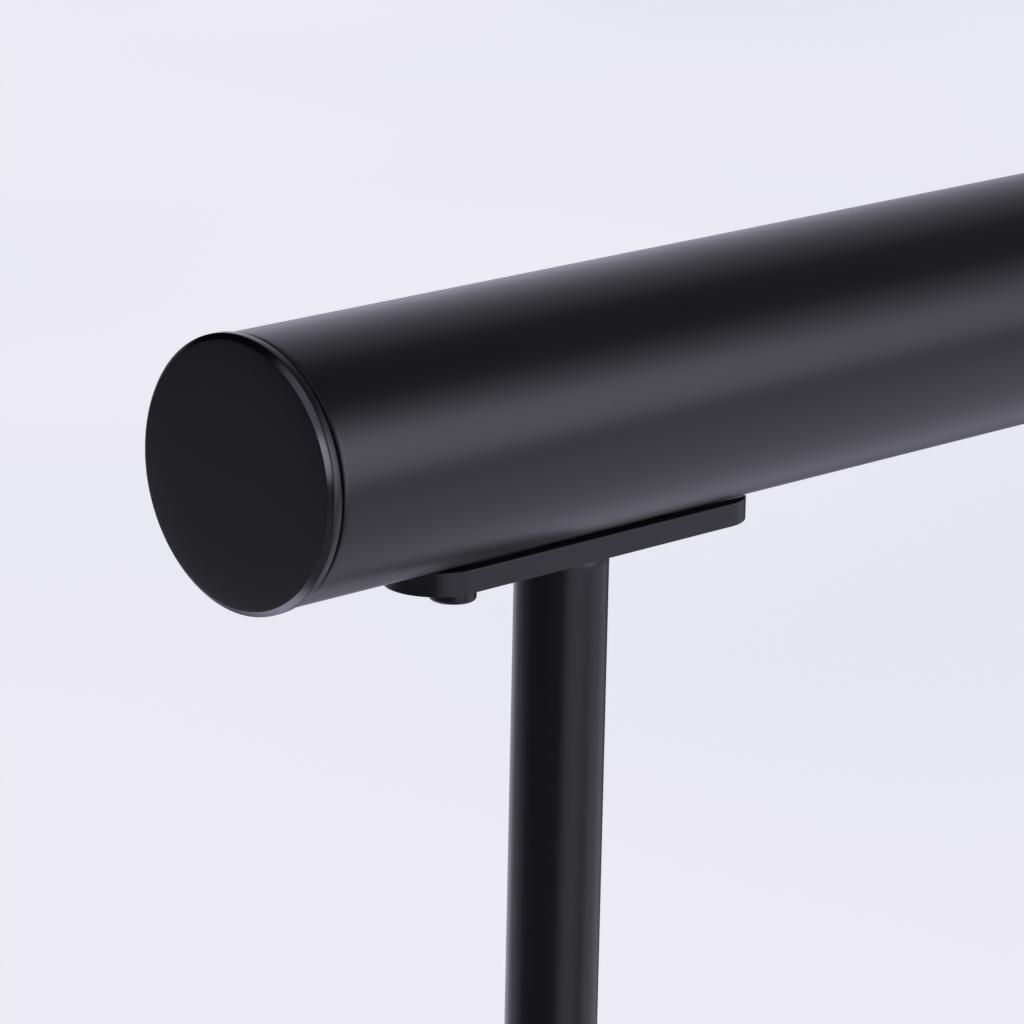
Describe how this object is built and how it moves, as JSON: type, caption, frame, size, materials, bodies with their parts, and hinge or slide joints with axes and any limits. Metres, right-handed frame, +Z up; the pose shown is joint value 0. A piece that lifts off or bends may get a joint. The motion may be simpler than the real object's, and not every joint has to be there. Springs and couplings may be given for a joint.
{
  "type": "single point cane",
  "caption": "Height-adjustable walking cane with a round tubular T-handle on a flat saddle plate, a slim shaft, a twist-lock collar and a single rubber tip.",
  "frame": {"origin": "centre of the rubber tip's tread, on the ground, on the shaft's axis", "axes": "+Z up along the shaft; X along the handle, with its short end and the saddle screw at -X"},
  "size_m": [0.154, 0.034, 0.8803],
  "materials": {
    "grip_metal": "satin black coat over drawn aluminium tube",
    "cap_metal": "black coat over turned aluminium: matte face, semi-gloss rim",
    "plate_metal": "satin black coat over flat aluminium bar",
    "screw_steel": "blackened steel",
    "shaft_metal": "satin black coat over aluminium tube",
    "leg_metal": "satin black coat over aluminium tube",
    "black_plastic": "fine moulded grain",
    "seal_rubber": "smooth",
    "tip_rubber": "matte moulded",
    "nylon": "natural nylon",
    "plain_steel": "zinc plated"
  },
  "bodies": {
    "handle": {"grip_tube": "grip_metal", "front_cap": "cap_metal", "rear_cap": "cap_metal", "front_cap_seal": "seal_rubber", "rear_cap_seal": "seal_rubber", "nut_bar": "plain_steel", "saddle_plate": "plate_metal", "saddle_screw": "screw_steel", "locating_pin": "plain_steel", "shaft_stud": "plain_steel", "upper_shaft": "shaft_metal", "shaft_top_plug": "plain_steel", "guide_bush": "nylon", "bush_rivet": "plain_steel"},
    "lower_leg": {"lower_tube": "leg_metal", "collet_sleeve": "black_plastic", "collet": "nylon", "tube_end_plug": "nylon", "ferrule_disc": "plain_steel", "ferrule": "tip_rubber"},
    "collar": {"lock_collar": "black_plastic", "collar_o_ring": "seal_rubber"}
  },
  "joints": [
    {"name": "height_slide", "type": "slide", "parent": "handle", "child": "lower_leg", "axis": [0, 0, 1], "range_m": [-0.09, 0.14]},
    {"name": "collar_turn", "type": "hinge", "parent": "lower_leg", "child": "collar", "pos_m": [0, 0, 0.515], "axis": [0, 0, 1], "range_deg": [0, 180]}
  ]
}
